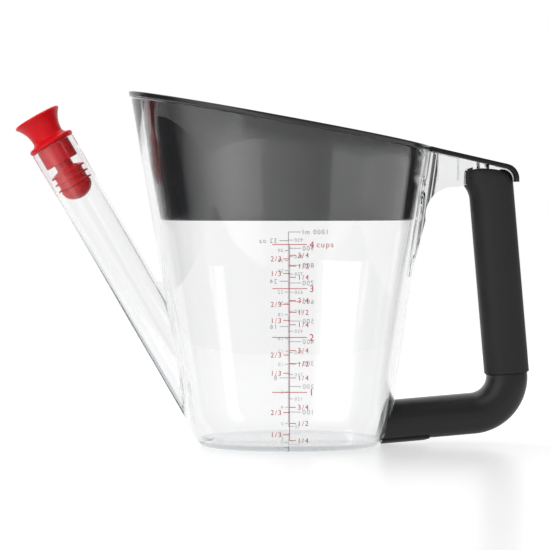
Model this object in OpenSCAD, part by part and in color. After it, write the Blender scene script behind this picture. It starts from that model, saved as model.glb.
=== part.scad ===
// Gravy fat separator: a clear oval cup with a low-set pouring spout, a strainer that
// lifts out, a silicone spout stopper and a two-part handle. Millimetres, +Z up.
// The origin is the centre of the cup's foot, on the table. The spout points to -X.

/* [Cup] */
// Half length of the cup where its end walls would meet the table
cup_half_x = 50.3; // [49.8:0.1:50.8]
// Half depth of the cup where its side walls would meet the table
cup_half_y = 44.6; // [44:0.1:45.5]
// Outward lean of the spout-end wall, per millimetre of height
spout_end_lean = 0.169; // [0.165:0.001:0.172]
// Outward lean of the handle-end wall, per millimetre of height
handle_end_lean = 0.143; // [0.14:0.001:0.146]
// Outward lean of the side walls, per millimetre of height
side_lean = 0.112; // [0.1:0.001:0.12]
// Squareness of the oval plan, where 2 is an ellipse
plan_power = 2.25; // [2.1:0.05:2.4]
// Thickness of the cup's wall
cup_wall = 2.6; // [2.3:0.1:2.8]
// Thickness of the cup's floor
cup_floor = 3.2; // [2.8:0.1:3.8]
// Height of the sloping rim over the middle of the foot
rim_height = 162; // [161.5:0.5:162.5]
// Fall of the rim towards the handle, per millimetre of length
rim_fall = 0.183; // [0.181:0.001:0.185]
// Distance that the wall tucks in at the foot
foot_tuck = 5.2; // [4.5:0.1:5.6]
// Height over which the wall tucks in
tuck_height = 16; // [14:1:18]

/* [Strainer] */
// Height of the underside of the perforated floor
strainer_z = 114.5; // [112:0.5:117]
// Thickness of the strainer's wall
strainer_wall = 1.8; // [1.5:0.1:2]
// Thickness of the perforated floor
strainer_floor = 2; // [1.6:0.1:2.4]
// Thickness of the rim band
band_thick = 2.4; // [2.2:0.1:2.6]
// Diameter of a drain hole
hole_d = 3.4; // [2.6:0.1:3.6]
// Distance between the drain holes
hole_pitch = 8.5; // [8:0.5:10]
// Width of the thumb tongue over the handle
tongue_w = 24; // [22:1:26]

/* [Spout] */
// Lean of the spout away from upright, in degrees
spout_lean = 30; // [29.5:0.1:30.5]
// Distance of the mouth's centre from the cup's axis
mouth_x = 120.3; // [119.8:0.1:120.8]
// Height of the mouth's centre
mouth_z = 152.3; // [151.8:0.1:152.8]
// Outer radius at the mouth
mouth_r = 11.7; // [11.5:0.1:12]
// Outer radius of the tube below its mouth
tube_r = 11.2; // [11:0.1:11.4]
// Radius of the bore at the mouth
bore_r = 9.9; // [9.8:0.1:10]

/* [Stopper] */
// Radius of the knob's rim
knob_r = 12.4; // [11.8:0.1:12.8]
// Height of the knob over the mouth
knob_h = 16.8; // [16:0.1:17.4]
// Radius of the sealing fins
fin_r = 9.6; // [9.4:0.1:9.6]

/* [Handle] */
// Lean of the handle, in degrees
handle_lean = 5; // [4.8:0.1:5.2]
// Radius of the elbow's centre line
elbow_r = 19; // [18.5:0.1:19.5]
// Width of the grip along the jug
grip_x = 22.2; // [21.8:0.1:22.6]
// Width of the grip across the jug
grip_y = 26; // [25.5:0.5:27]
// Height of the lower arm's section
arm_h = 20.4; // [20:0.1:20.6]
// Width of the lower arm across the jug
arm_y = 24; // [23:0.5:24.5]

/* [Hidden] */
$fn = 64;
plan_steps = 96;         // points round the oval

clear_plastic = [0.86, 0.9, 0.92, 0.45];
black_plastic = [0.12, 0.12, 0.13];
soft_black = [0.17, 0.17, 0.18];
red_silicone = [0.85, 0.05, 0.08];
steel = [0.75, 0.75, 0.77];

// ---- the oval plan, the leaning walls and the sloping rim ----

function signed_power(v, p) = sign(v) * pow(abs(v), p);
function plan_cos(a) = signed_power(cos(a), 2 / plan_power);
function plan_sin(a) = signed_power(sin(a), 2 / plan_power);
function plan_angle(i) = i * 360 / plan_steps;
function end_lean(a) = cos(a) > 0 ? handle_end_lean : spout_end_lean;

// Point of the wall line at angle a and height z, taken in by inset.
function wall_point(a, z, inset) =
    [(cup_half_x + end_lean(a) * z - inset) * plan_cos(a),
     (cup_half_y + side_lean * z - inset) * plan_sin(a), z];

// Height of the sloping rim at a distance x from the cup's axis.
function rim_at(x) = rim_height - rim_fall * x;

// Height at which the wall line at angle a meets the rim's slope, lifted by up.
function rim_z(a, inset, up) =
    (rim_at((cup_half_x - inset) * plan_cos(a)) + up) / (1 + rim_fall * end_lean(a) * plan_cos(a));

// How far the wall tucks in at height z, with a small rolled edge at the table.
foot_round = 1.4;
tuck_power = 2.2;
function tuck(z) =
    foot_tuck * pow(max(0, 1 - z / tuck_height), tuck_power)
    + (z < foot_round ? foot_round - sqrt(pow(foot_round, 2) - pow(foot_round - z, 2)) : 0);

function level_ring(z, inset) =
    [for (i = [0 : plan_steps - 1]) wall_point(plan_angle(i), z, inset)];
function rim_ring(inset, up) =
    [for (i = [0 : plan_steps - 1])
        wall_point(plan_angle(i), rim_z(plan_angle(i), inset, up), inset)];

// Skins a list of rings that run up the outside and down the inside.
// A capped skin closes its first and last rings; an open one joins the last to the first.
module skin(rings, capped) {
    count = len(rings);
    n = len(rings[0]);
    last = capped ? count - 2 : count - 1;
    sides = [for (r = [0 : last], i = [0 : n - 1])
        let (a = r * n + i, b = r * n + (i + 1) % n,
             c = ((r + 1) % count) * n + (i + 1) % n, d = ((r + 1) % count) * n + i)
        each [[a, d, c], [a, c, b]]];
    caps = capped
        ? [[for (i = [0 : n - 1]) i], [for (i = [n - 1 : -1 : 0]) (count - 1) * n + i]]
        : [];
    polyhedron(points = [for (ring = rings) each ring], faces = concat(sides, caps));
}

// Extrudes a side view, drawn as x and height, to the width w across the jug.
module across(w) {
    rotate([90, 0, 0]) translate([0, 0, -w / 2]) linear_extrude(w) children();
}

// Rounded rectangle, centred.
module rounded(x, y, r) {
    square([x, y - 2 * r], center = true);
    square([x - 2 * r, y], center = true);
    for (sx = [-1, 1], sy = [-1, 1]) translate([sx * (x / 2 - r), sy * (y / 2 - r)]) circle(r);
}

// Plan of the concave corner of radius r between a wall and a bar whose side is at y = 0.
// The round starts at x on the bar, and the fill reaches back to from, inside the wall.
// It stops short of a quarter turn, where it runs into the oval wall without a step.
turn_share = 0.75;
module corner_fill(from, x, r) {
    difference() {
        translate([from, 0]) square([x - from, turn_share * r]);
        translate([x, r]) circle(r);
    }
}

// ---- cup ----

foot_levels = [0, 0.25, 0.7, foot_round, 3, 5, 7.5, 10.5, tuck_height];
inner_levels = [12, 8.5, 6, 4.6, cup_floor + 0.5];
rim_edge = 0.6;          // rounding of the rim's edges
floor_edge = 1.8;        // how far the inner floor's last round runs in

module cup_bowl() {
    outside = [for (z = foot_levels) level_ring(z, tuck(z))];
    rim = [rim_ring(0, -rim_edge), rim_ring(rim_edge, 0),
           rim_ring(cup_wall - rim_edge, 0), rim_ring(cup_wall, -rim_edge)];
    inside = [level_ring(tuck_height, cup_wall),
              for (z = inner_levels) level_ring(z, tuck(z) + cup_wall),
              level_ring(cup_floor, tuck(cup_floor) + cup_wall + floor_edge)];
    skin(concat(outside, rim, inside), true);
}

// The cup's outer form with no hollow, grown by gap, to cut what is joined to the cup.
module cup_form(gap) {
    skin([level_ring(-5, tuck(0) - gap), for (z = foot_levels) level_ring(z, tuck(z) - gap),
          level_ring(rim_height + 20, -gap)], true);
}

// The spout's frame has z down the bore from the mouth, and x to the side away from the cup.
module at_spout() {
    translate([-mouth_x, 0, mouth_z]) rotate([0, 180 - spout_lean, 0]) children();
}

mouth_band = 30;         // length over which the tube narrows from its mouth
spout_length = 160;
bore_foot = 154;         // depth at which the bore has its smaller radius
bore_foot_r = 9.5;
port_from = 118;         // depth at which the port begins, inside the bore
port_side = 2.4;         // the port keeps to this far on the lower side of the bore's axis

// The half-moon port low in the cup's wall, at the foot of the bore.
module port() {
    at_spout() intersection() {
        translate([0, 0, port_from]) cylinder(r = bore_foot_r, h = 52);
        translate([port_side, -15, port_from - 1]) cube([20, 30, 54]);
    }
}

// The handle's frame has its origin where the centre lines of arm and grip meet,
// x along the arm away from the cup, and z up the grip.
corner_x = 112.8;
corner_z = 17.4;
module at_handle() {
    translate([corner_x, 0, corner_z]) rotate([0, -handle_lean, 0]) children();
}

arm_round = 9;
arm_length = 70;
joint_x = 46.6;          // where the arm's end face would meet the table
joint_lean = 17.5;       // lean of that face, in degrees
lug_z = 120.8;           // height of the clear lug's underside, up the grip
lug_thick = 2.8;
lug_from = -9;
lug_to = 4.5;
bridge_w = 20;
lower_screw_x = -50.5;
upper_screw_x = -3.5;
screw_r = 1.4;
screw_head_r = 2.9;
screw_hole_r = 1.45;
head_seat = 1.3;         // depth of lug left under the upper screw's head

// Everything on the cup's side of the arm's end face.
module cup_side() {
    translate([joint_x, 0, 0]) rotate([0, joint_lean, 0])
        translate([-80, -40, -40]) cube([80, 80, 120]);
}

module arm_bar() {
    at_handle() translate([-elbow_r, 0, 0]) rotate([0, -90, 0])
        linear_extrude(arm_length) rounded(arm_h, arm_y, arm_round);
}

tongue_fall = 0.2255;    // fall of the thumb tongue
tongue_x = 72.9;         // where the tongue leaves the rim
tongue_thick = 2.3;
seat_gap = 0.3;          // gap between the strainer and the rim that carries it
lid_top = seat_gap + band_thick;
function tongue_top(x) = rim_at(tongue_x) + lid_top - tongue_fall * (x - tongue_x);
function bridge_top(x) = tongue_top(x) - tongue_thick - seat_gap;

crook_r = 14.8;          // hollow under the bridge, where fingers go
crook_x = 83.5;
crook_z = 116.5;
crook_foot = 86;         // height at which the bridge's root has sunk into the wall
crook_sink = 1.4;        // how deep it has sunk there
bridge_end = 104;        // where the bridge's wedge runs out over the grip
socket_x = 91;           // where the bridge enters the grip
socket_z = 132.6;
wedge_z = 139;
channel_x = 74.5;        // the open channel in the bridge
channel_to = 86;
channel_z = 134.6;
channel_wall = 2.5;
gusset_r = 11.5;         // flare of the bridge's sides into the cup's wall
gusset_x = 8.8;          // how far from the wall the flare begins
inside_x = 50;           // well inside the cup, where the joined pieces are cut away

module bridge_side() {
    polygon(concat(
        [[inside_x, crook_foot], [inside_x, rim_at(inside_x)], [tongue_x, bridge_top(tongue_x)],
         [bridge_end, bridge_top(bridge_end)], [bridge_end, wedge_z],
         [socket_x, wedge_z], [socket_x, socket_z]],
        [for (a = [84 : 4 : 188]) [crook_x + crook_r * cos(a), crook_z + crook_r * sin(a)]],
        [[cup_half_x + handle_end_lean * crook_foot - crook_sink, crook_foot]]));
}

grip_foot = 0.3;         // groove between the elbow and the grip
grip_round = 10;
head_round = 8;          // plan corners of the grip's head
head_from = 109;         // height at which the grip starts to swell into its head
chin_z = 117;
chin_out = 3.1;          // how far the head's chin stands out towards the cup
chin_draft = 0.07;       // lean of the face over the chin
crown_r = 4.5;
crown_z = 123.7;         // height of the head's sloping top over the grip's axis
crown_fall = 0.16;
nose_y = 7.4;            // half width of the nose that enters the bridge's channel

function swell(z) = z < head_from ? 0 : pow((z - head_from) / (chin_z - head_from), 2);

// Section of the grip: a rounded rectangle at height z, from left to right along the jug.
function grip_ring(z, left, right, half_y, r, sink) =
    [for (corner = [0 : 3], step = [0 : 6])
        let (a = 90 * corner + 15 * step, sx = corner == 0 || corner == 3 ? 1 : -1,
             x = (sx > 0 ? right - r : left + r) + r * cos(a),
             y = (corner < 2 ? 1 : -1) * (half_y - r) + r * sin(a))
        [x, y, z == undef ? crown_z - crown_fall * x - sink : z]];

// The whole grip, grown by gap: a straight sleeve whose head swells into a chin and ends in
// a sloping crown with rounded edges.
module grip_form(gap) {
    left = -grip_x / 2 - gap;
    right = grip_x / 2 + gap;
    half_y = grip_y / 2 + gap;
    at_handle() skin(concat(
        [for (z = [elbow_r + grip_foot, head_from, 111, 112.5, 114, 115.2, 116.2, chin_z - 0.3])
            let (t = swell(z))
            grip_ring(z, left - chin_out * t, right, half_y, grip_round - (grip_round - head_round) * t)],
        [grip_ring(chin_z + 0.4, left - chin_out, right, half_y, head_round)],
        [for (u = [0 : 15 : 90])
            let (inset = crown_r * (1 - cos(u)))
            grip_ring(undef, left - chin_out + chin_draft * crown_r + inset, right - inset, half_y - inset,
                      head_round - inset * 0.8, crown_r * (1 - sin(u)) - gap)]), true);
}

// The narrow space that holds the head's nose, which enters the bridge's channel.
module nose_space(gap) {
    at_handle() translate([-30, -nose_y - gap, head_from])
        cube([30 + lug_from - 0.1 + gap, 2 * (nose_y + gap), 30]);
}

// Clear bridge from the rim to the grip, an open channel with flared roots. Its end closes
// over the grip's nose.
module bridge() {
    difference() {
        intersection() {
            across(bridge_w + 2 * gusset_r) bridge_side();
            union() {
                translate([inside_x, -bridge_w / 2, crook_foot]) cube([60, bridge_w, 70]);
                for (side = [0, 1]) mirror([0, side, 0]) translate([cup_half_x, bridge_w / 2, 0])
                    rotate([0, atan(handle_end_lean), 0]) translate([0, 0, 80])
                        linear_extrude(90) corner_fill(-10, gusset_x, gusset_r);
            }
        }
        translate([channel_x, -bridge_w / 2 + channel_wall, channel_z])
            cube([channel_to - channel_x, bridge_w - 2 * channel_wall, 30]);
        intersection() {
            grip_form(0.1);
            nose_space(0.1);
        }
    }
}

spigot_h = 10;
spigot_y = 13;
spigot_end = -45;

// Clear pad between the cup's foot and the arm's end, with its spigot in the arm.
module boss() {
    intersection() {
        arm_bar();
        cup_side();
    }
    at_handle() translate([-elbow_r - arm_length, -spigot_y / 2, -spigot_h / 2])
        cube([elbow_r + arm_length + spigot_end, spigot_y, spigot_h]);
}

module lug() {
    at_handle() translate([lug_from, -bridge_w / 2, lug_z])
        cube([lug_to - lug_from, bridge_w, lug_thick]);
}

module cup() {
    color(clear_plastic) difference() {
        union() {
            cup_bowl();
            difference() {
                union() {
                    bridge();
                    boss();
                    lug();
                }
                cup_form(-cup_wall / 2);
            }
        }
        port();
        at_handle() translate([upper_screw_x, 0, lug_z - 10]) cylinder(r = screw_r + 0.3, h = 30);
        at_handle() translate([upper_screw_x, 0, lug_z + head_seat])
            cylinder(r = screw_head_r + 0.4, h = 20);
        at_handle() translate([lower_screw_x, 0, -spigot_h / 2 - 1])
            cylinder(r = screw_hole_r, h = 8);
    }
}

// ---- spout tube, welded over the port ----

web_w = 5;               // thickness of the web in the crotch
web_top = 83;
web_fillet = 1.6;

// Web that fills the narrow crotch between tube and cup, with a small round at its top.
module spout_web() {
    across(web_w) difference() {
        polygon([[-74, web_top], [-60, web_top], [-56, 40], [-62, 40]]);
        translate([-68.3, web_top]) circle(web_fillet);
    }
}

module spout_tube() {
    color(clear_plastic) difference() {
        union() {
            at_spout() cylinder(r1 = mouth_r, r2 = tube_r, h = mouth_band);
            at_spout() translate([0, 0, mouth_band - 0.01])
                cylinder(r = tube_r, h = spout_length - mouth_band);
            spout_web();
        }
        at_spout() translate([0, 0, -1]) cylinder(r1 = bore_r, r2 = bore_foot_r, h = bore_foot + 1);
        at_spout() translate([0, 0, bore_foot - 1]) cylinder(r = bore_foot_r, h = 5);
        cup_form(0);
    }
}

// ---- handle frame: arm, elbow and the post inside the grip ----

post_x = 14;
post_y = 17;
post_round = 5;
socket_gap = 0.2;
web_under = 1.8;         // plastic between the spigot's socket and the lower screw's head
cover_top = -8.9;        // height of the screw cover's upper face, from the arm's centre line
cover_drop = 1;          // how far the cover stands proud of the arm
cover_to = -42.4;
cover_y = 16;
screw_seat = -spigot_h / 2 - socket_gap - web_under;

module handle_frame() {
    color(black_plastic) difference() {
        union() {
            difference() {
                arm_bar();
                cup_side();
                cup_form(0.1);
            }
            at_handle() translate([-elbow_r, 0, elbow_r]) rotate([90, 0, 0]) rotate([0, 0, -90])
                rotate_extrude(angle = 90) translate([elbow_r, 0]) rounded(arm_h, arm_y, arm_round);
            at_handle() translate([0, 0, elbow_r - 0.01])
                linear_extrude(lug_z - elbow_r + 0.01) rounded(post_x, post_y, post_round);
        }
        at_handle() {
            translate([-elbow_r - arm_length, -spigot_y / 2 - socket_gap, -spigot_h / 2 - socket_gap])
                cube([elbow_r + arm_length + spigot_end + socket_gap,
                      spigot_y + 2 * socket_gap, spigot_h + 2 * socket_gap]);
            translate([lower_screw_x, 0, -20]) cylinder(r = screw_r + 0.3, h = 20);
            translate([lower_screw_x, 0, screw_seat - 10]) cylinder(r = screw_head_r + 0.4, h = 10);
            translate([-elbow_r - arm_length, -cover_y / 2 - 0.1, cover_top - 10])
                cube([elbow_r + arm_length + cover_to + 0.1, cover_y + 0.2, 10]);
            translate([upper_screw_x, 0, lug_z - 14]) cylinder(r = screw_hole_r, h = 20);
        }
    }
}

// Snap-in plate under the arm that hides the lower screw, with a ramp at its outer end.
module screw_cover() {
    color(black_plastic) difference() {
        at_handle() intersection() {
            rotate([0, -90, 0]) translate([0, 0, -cover_to]) linear_extrude(40)
                rounded(arm_h + 2 * cover_drop, arm_y + 2 * cover_drop, arm_round + cover_drop);
            translate([-90, -cover_y / 2, cover_top - 10]) cube([80, cover_y, 10]);
        }
        cup_side();
        at_handle() translate([cover_to, 0, -arm_h / 2]) rotate([0, -14, 0])
            translate([-10, -20, -10]) cube([30, 40, 10]);
    }
}

module screw(length) {
    translate([0, 0, -0.01]) cylinder(r = screw_r, h = length);
    difference() {
        translate([0, 0, -1.8]) cylinder(r = screw_head_r, h = 1.8);
        for (turn = [0, 90]) rotate([0, 0, turn]) translate([-1.8, -0.4, -2.8]) cube([3.6, 0.8, 2]);
    }
}

module lower_screw() {
    color(steel) at_handle() translate([lower_screw_x, 0, screw_seat]) screw(8.5);
}

module upper_screw() {
    color(steel) at_handle() translate([upper_screw_x, 0, lug_z + head_seat])
        rotate([180, 0, 0]) screw(13);
}

// ---- soft grip ----

// Soft sleeve over the post. The bridge's end and its lug lie between the head's cheeks.
module grip_sleeve() {
    color(soft_black) difference() {
        grip_form(0);
        at_handle() linear_extrude(lug_z) rounded(post_x, post_y, post_round);
        at_handle() translate([lug_from - 0.1, -bridge_w / 2 - 0.1, lug_z])
            cube([lug_to - lug_from + 0.2, bridge_w + 0.2, 20]);
        difference() {
            across(bridge_w + 0.2) polygon([[70, socket_z - 3], [socket_x + 0.1, socket_z - 0.1],
                                            [socket_x + 0.1, wedge_z - 0.1], [bridge_end, wedge_z - 0.1],
                                            [bridge_end, 160], [70, 160]]);
            nose_space(0);
        }
    }
}

// ---- strainer ----

skirt_gap = 0.5;         // play between the strainer's wall and the cup's
band_over = 0.8;         // overhang of the rim band
band_edge = 0.6;
skirt_in = cup_wall + skirt_gap;
skirt_taper = 0.01;      // extra taper of the strainer's wall at the sides
taper_swing = 0.01;      // more of it at the spout end, none at the handle end
margin = 7.5;            // plain border round the drain holes
skirt_round = 1.2;

function skirt_inset(a, z, inset) =
    skirt_in + inset + (rim_z(a, skirt_in, 0) - z) * (skirt_taper - taper_swing * plan_cos(a));
function skirt_ring(z, inset) =
    [for (i = [0 : plan_steps - 1])
        let (a = plan_angle(i)) wall_point(a, z, skirt_inset(a, z, inset))];
function flat_ring(z, inset) = [for (p = skirt_ring(z, inset)) [p.x, p.y]];

// Distance of a point from the middle of the floor, where 1 is on the border's inner edge.
function reach(p) =
    let (a = p.x > 0 ? 0 : 180, end = abs(wall_point(a, strainer_z, skirt_inset(a, strainer_z, 0)).x),
         side = wall_point(90, strainer_z, skirt_inset(90, strainer_z, 0)).y)
    pow(abs(p.x) / (end - margin), plan_power) + pow(abs(p.y) / (side - margin), plan_power);

row_pitch = hole_pitch * sin(60);
drain_holes = [for (row = [-8 : 8], column = [-8 : 8])
    let (p = [(column + (row % 2 == 0 ? 0 : 0.5)) * hole_pitch, row * row_pitch])
    if (reach(p) <= 1) p];

// Rim band, wall and rounded foot in one closed skin.
module strainer_shell() {
    skin([skirt_ring(strainer_z, skirt_round), skirt_ring(strainer_z + 0.35, 0.35),
          skirt_ring(strainer_z + skirt_round, 0),
          rim_ring(skirt_in, seat_gap), rim_ring(-band_over, seat_gap),
          rim_ring(-band_over, lid_top - band_edge), rim_ring(-band_over + band_edge, lid_top),
          rim_ring(skirt_in + strainer_wall - band_edge, lid_top),
          rim_ring(skirt_in + strainer_wall, lid_top - band_edge),
          skirt_ring(strainer_z + strainer_floor + 2, strainer_wall),
          skirt_ring(strainer_z + strainer_floor + 0.5, strainer_wall + 0.8),
          skirt_ring(strainer_z + strainer_floor, strainer_wall + 2.4)], false);
}

tab_r = 8;               // curl of the thumb tab over the grip
tab_x = 108.5;
tab_z = 135;
tab_thick = 2.2;
tab_slope = atan(tongue_fall);
tab_round = 7;

module tongue_side() {
    polygon(concat(
        [[tongue_x - 3.5, rim_at(tongue_x - 3.5) + lid_top], [tongue_x, tongue_top(tongue_x)]],
        [for (a = [90 - tab_slope : -7.73 : 0]) [tab_x + tab_r * cos(a), tab_z + tab_r * sin(a)]],
        [[tab_x + tab_r - 0.3, tab_z - 0.8], [tab_x + tab_r - tab_thick / 2, tab_z - 1.2],
         [tab_x + tab_r - tab_thick + 0.3, tab_z - 0.8]],
        [for (a = [0 : 7.73 : 90 - tab_slope])
            [tab_x + (tab_r - tab_thick) * cos(a), tab_z + (tab_r - tab_thick) * sin(a)]],
        [[tongue_x - 3.5, rim_at(tongue_x - 3.5) + seat_gap]]));
}

root_flare = 8;
root_x = 78;             // where the tongue's flare begins

module tongue_plan() {
    length = tab_x + tab_r + 1 - tongue_x;
    for (side = [0, 1]) mirror([0, side]) translate([0, tongue_w / 2])
        corner_fill(tongue_x - 10, root_x, root_flare);
    translate([tongue_x - 10, -tongue_w / 2]) square([length + 10 - tab_round, tongue_w]);
    translate([tongue_x, -tongue_w / 2 + tab_round]) square([length, tongue_w - 2 * tab_round]);
    for (side = [-1, 1])
        translate([tongue_x + length - tab_round, side * (tongue_w / 2 - tab_round)]) circle(tab_round);
}

module strainer() {
    color(black_plastic) {
        strainer_shell();
        translate([0, 0, strainer_z]) linear_extrude(strainer_floor) difference() {
            polygon(flat_ring(strainer_z, skirt_round + 0.1));
            for (p = drain_holes) translate(p) circle(d = hole_d, $fn = 24);
        }
        intersection() {
            across(tongue_w + 2 * root_flare) tongue_side();
            translate([0, 0, tab_z - 10]) linear_extrude(40) tongue_plan();
        }
    }
}

// ---- stopper, turned about the spout's axis ----

waist_r = 8.2;
waist_z = -5;
knob_edge = 1.1;         // rounding of the knob's lip
flange_r = 12;
flange_gap = 0.3;
plug_r = 8.8;
plug_length = 10.4;
neck_r = 4.6;
fin_z = 16;              // depth of the first fin's rim
fin_step = 3.5;
fin_drop = 2.3;
notch_r = 7.6;
nose_r = 8.2;
nose_from = 24;          // depth at which the round nose begins
nose_z = 30.6;

function fin(k, from_r) =
    let (z = fin_z + k * fin_step)
    [[from_r, z - fin_drop * (fin_r - from_r) / (fin_r - neck_r)], [fin_r - 0.2, z - 0.5],
     [fin_r, z - 0.1], [fin_r - 0.25, z + 0.2], [notch_r, z + 0.4]];

module stopper() {
    color(red_silicone) at_spout() rotate_extrude() polygon(concat(
        [[0, 1.6 - knob_h], [knob_r - 3, 0.5 - knob_h]],
        [for (a = [105 : -21 : 0])
            [knob_r - knob_edge + knob_edge * cos(a), knob_edge - knob_h - knob_edge * sin(a)]],
        [for (k = [7 : -1 : 0])
            let (u = 0.14 * k)
            [waist_r + (knob_r - waist_r) * pow(u, 2.2),
             waist_z - (knob_h - knob_edge + waist_z) * u]],
        [[waist_r + 0.3, -4.2], [waist_r + 1.2, -3.2], [flange_r - 0.6, -2.7], [flange_r, -2.1],
         [flange_r, -flange_gap - 0.6], [flange_r - 0.6, -flange_gap], [plug_r, -flange_gap],
         [plug_r, plug_length - 0.4], [plug_r - 0.4, plug_length], [neck_r, plug_length]],
        fin(0, neck_r), fin(1, notch_r), fin(2, notch_r),
        [for (a = [0 : 10 : 90])
            [nose_r * cos(a), nose_from + (nose_z - nose_from) * sin(a)]]));
}

cup();
spout_tube();
handle_frame();
grip_sleeve();
screw_cover();
lower_screw();
upper_screw();
strainer();
stopper();
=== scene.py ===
import math
import bmesh
import bpy
from mathutils import Matrix, Vector


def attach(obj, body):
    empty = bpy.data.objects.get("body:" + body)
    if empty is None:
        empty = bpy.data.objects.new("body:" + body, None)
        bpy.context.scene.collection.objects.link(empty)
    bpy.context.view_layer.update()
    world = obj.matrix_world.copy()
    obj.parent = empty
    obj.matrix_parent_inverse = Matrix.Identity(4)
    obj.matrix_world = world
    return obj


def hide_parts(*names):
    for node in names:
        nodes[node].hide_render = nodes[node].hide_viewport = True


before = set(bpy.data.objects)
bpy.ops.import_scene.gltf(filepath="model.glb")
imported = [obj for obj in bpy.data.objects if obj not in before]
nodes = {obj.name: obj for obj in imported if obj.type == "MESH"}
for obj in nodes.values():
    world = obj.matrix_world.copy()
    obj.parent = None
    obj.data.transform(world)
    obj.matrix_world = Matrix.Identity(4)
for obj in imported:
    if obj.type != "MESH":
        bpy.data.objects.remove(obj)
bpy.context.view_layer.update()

mm = 0.001


# ---- camera ----
# The photographed view: a long lens, level with the foot of the strainer and looking
# slightly down at the jug from the side.

eye = Vector((-7.14, -1198, 124.6)) * mm
look_down = 1.828  # degrees
focal_px, photo_px = 2350, 550  # focal length and width of the photograph, in its pixels

bpy.ops.object.camera_add(location=eye, rotation=(math.radians(90 - look_down), 0, 0))
camera = bpy.context.object
camera.name = "camera"
camera.data.sensor_width = 36
camera.data.lens = camera.data.sensor_width * focal_px / photo_px
camera.data.clip_end = 20
bpy.context.scene.camera = camera
bpy.context.scene.view_settings.view_transform = "Standard"


# ---- table, backdrop and lamps ----
# A small white table in a white studio, with large soft lamps: the key at the front left, a
# weaker one at the right, and one overhead at the left. Dark cloths hang at the two sides, and
# the room behind the camera is dark above the table.


class Shade:
    """A shader socket that takes part in Python expressions, in the tree it was made in."""

    def __init__(self, tree, socket):
        self.tree = tree
        self.socket = socket

    def node(self, kind, settings=None, values=None):
        """Adds a node. settings are set first, then the sockets named or numbered in values."""
        made = self.tree.nodes.new(kind)
        for name, value in (settings or {}).items():
            if name == "stops":
                ramp = made.color_ramp.elements
                while len(ramp) < len(value):
                    ramp.new(0.5)
                for stop, (place, level) in zip(ramp, value):
                    stop.position = place
                    stop.color = (level, level, level, 1)
            else:
                setattr(made, name, value)
        for name, value in (values or {}).items():
            if isinstance(value, Shade):
                self.tree.links.new(value.socket, made.inputs[name])
            else:
                made.inputs[name].default_value = value
        return made

    def take(self, kind, settings=None, values=None, out=0):
        """Adds a node and gives one of its outputs."""
        return Shade(self.tree, self.node(kind, settings, values).outputs[out])

    def maths(self, operation, a, b=0.0):
        return self.take("ShaderNodeMath", {"operation": operation}, {0: a, 1: b})

    def __add__(self, other):
        return self.maths("ADD", self, other)

    __radd__ = __add__

    def __mul__(self, other):
        return self.maths("MULTIPLY", self, other)

    __rmul__ = __mul__

    def __sub__(self, other):
        return self.maths("SUBTRACT", self, other)

    def __rsub__(self, other):
        return self.maths("SUBTRACT", other, self)

    def either(self, other):
        """The larger of the two, so 1 where this or the other is 1."""
        return self.maths("MAXIMUM", self, other)

    def above(self, level):
        """1 where this is more than level, and 0 elsewhere."""
        return self.maths("GREATER_THAN", self, level)

    def ramp(self, *stops):
        """Grey levels at the given places, from pairs (place, level)."""
        return self.take("ShaderNodeValToRGB", {"stops": stops}, {0: self})

    def blend(self, low, high):
        """A colour between low and high."""
        return self.take("ShaderNodeMix", {"data_type": "RGBA"}, {0: self, 6: low, 7: high}, 2)

    def into(self, node, name=0):
        """Links this to one of a node's sockets."""
        self.tree.links.new(self.socket, node.inputs[name])


def new_material(name):
    """An empty material, with a Shade that adds nodes to its tree, and its output node."""
    made = bpy.data.materials.new(name)
    made.use_nodes = True
    made.node_tree.nodes.clear()
    pen = Shade(made.node_tree, None)
    return made, pen, pen.node("ShaderNodeOutputMaterial")


def light_path(pen):
    """Gives the Light Path node's outputs by name."""
    rays = pen.node("ShaderNodeLightPath")
    return lambda name: Shade(pen.tree, rays.outputs[name])


table_half_x, table_half_y, table_middle = 420 * mm, 550 * mm, 150 * mm
table_drop = 0.2 * mm  # keeps the table's face out of the plane of the jug's foot
table_glow = 0.46  # the part of the table's white that no shadow reaches
glow_in_clear = 0.38  # the same, seen through the jug or mirrored in it
table_colour = (0.60, 0.60, 0.60, 1)

bpy.ops.object.select_all(action="DESELECT")
bpy.ops.mesh.primitive_grid_add(x_subdivisions=8, y_subdivisions=8, size=2,
                                location=(0, table_middle, -table_drop))
table = bpy.context.object
table.name = "table"
bpy.ops.transform.resize(value=(table_half_x, table_half_y, 1))
bpy.ops.object.transform_apply(location=False, rotation=False, scale=True)
table_white, pen, out = new_material("table_white")
ray = light_path(pen)
paint = pen.take("ShaderNodeBsdfPrincipled", values={
    "Base Color": table_colour, "Roughness": 0.3, "Specular IOR Level": 0.3})
polished = ray("Is Glossy Ray").either(ray("Is Transmission Ray"))
seen = ray("Is Camera Ray") * table_glow + polished * glow_in_clear
glow = pen.take("ShaderNodeEmission", values={"Color": (1, 1, 1, 1), "Strength": seen})
both = pen.take("ShaderNodeAddShader", values={0: paint, 1: glow})
both.into(out)
table.data.materials.append(table_white)

fill_level = 0.45  # the studio's soft light on everything that isn't polished
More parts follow.
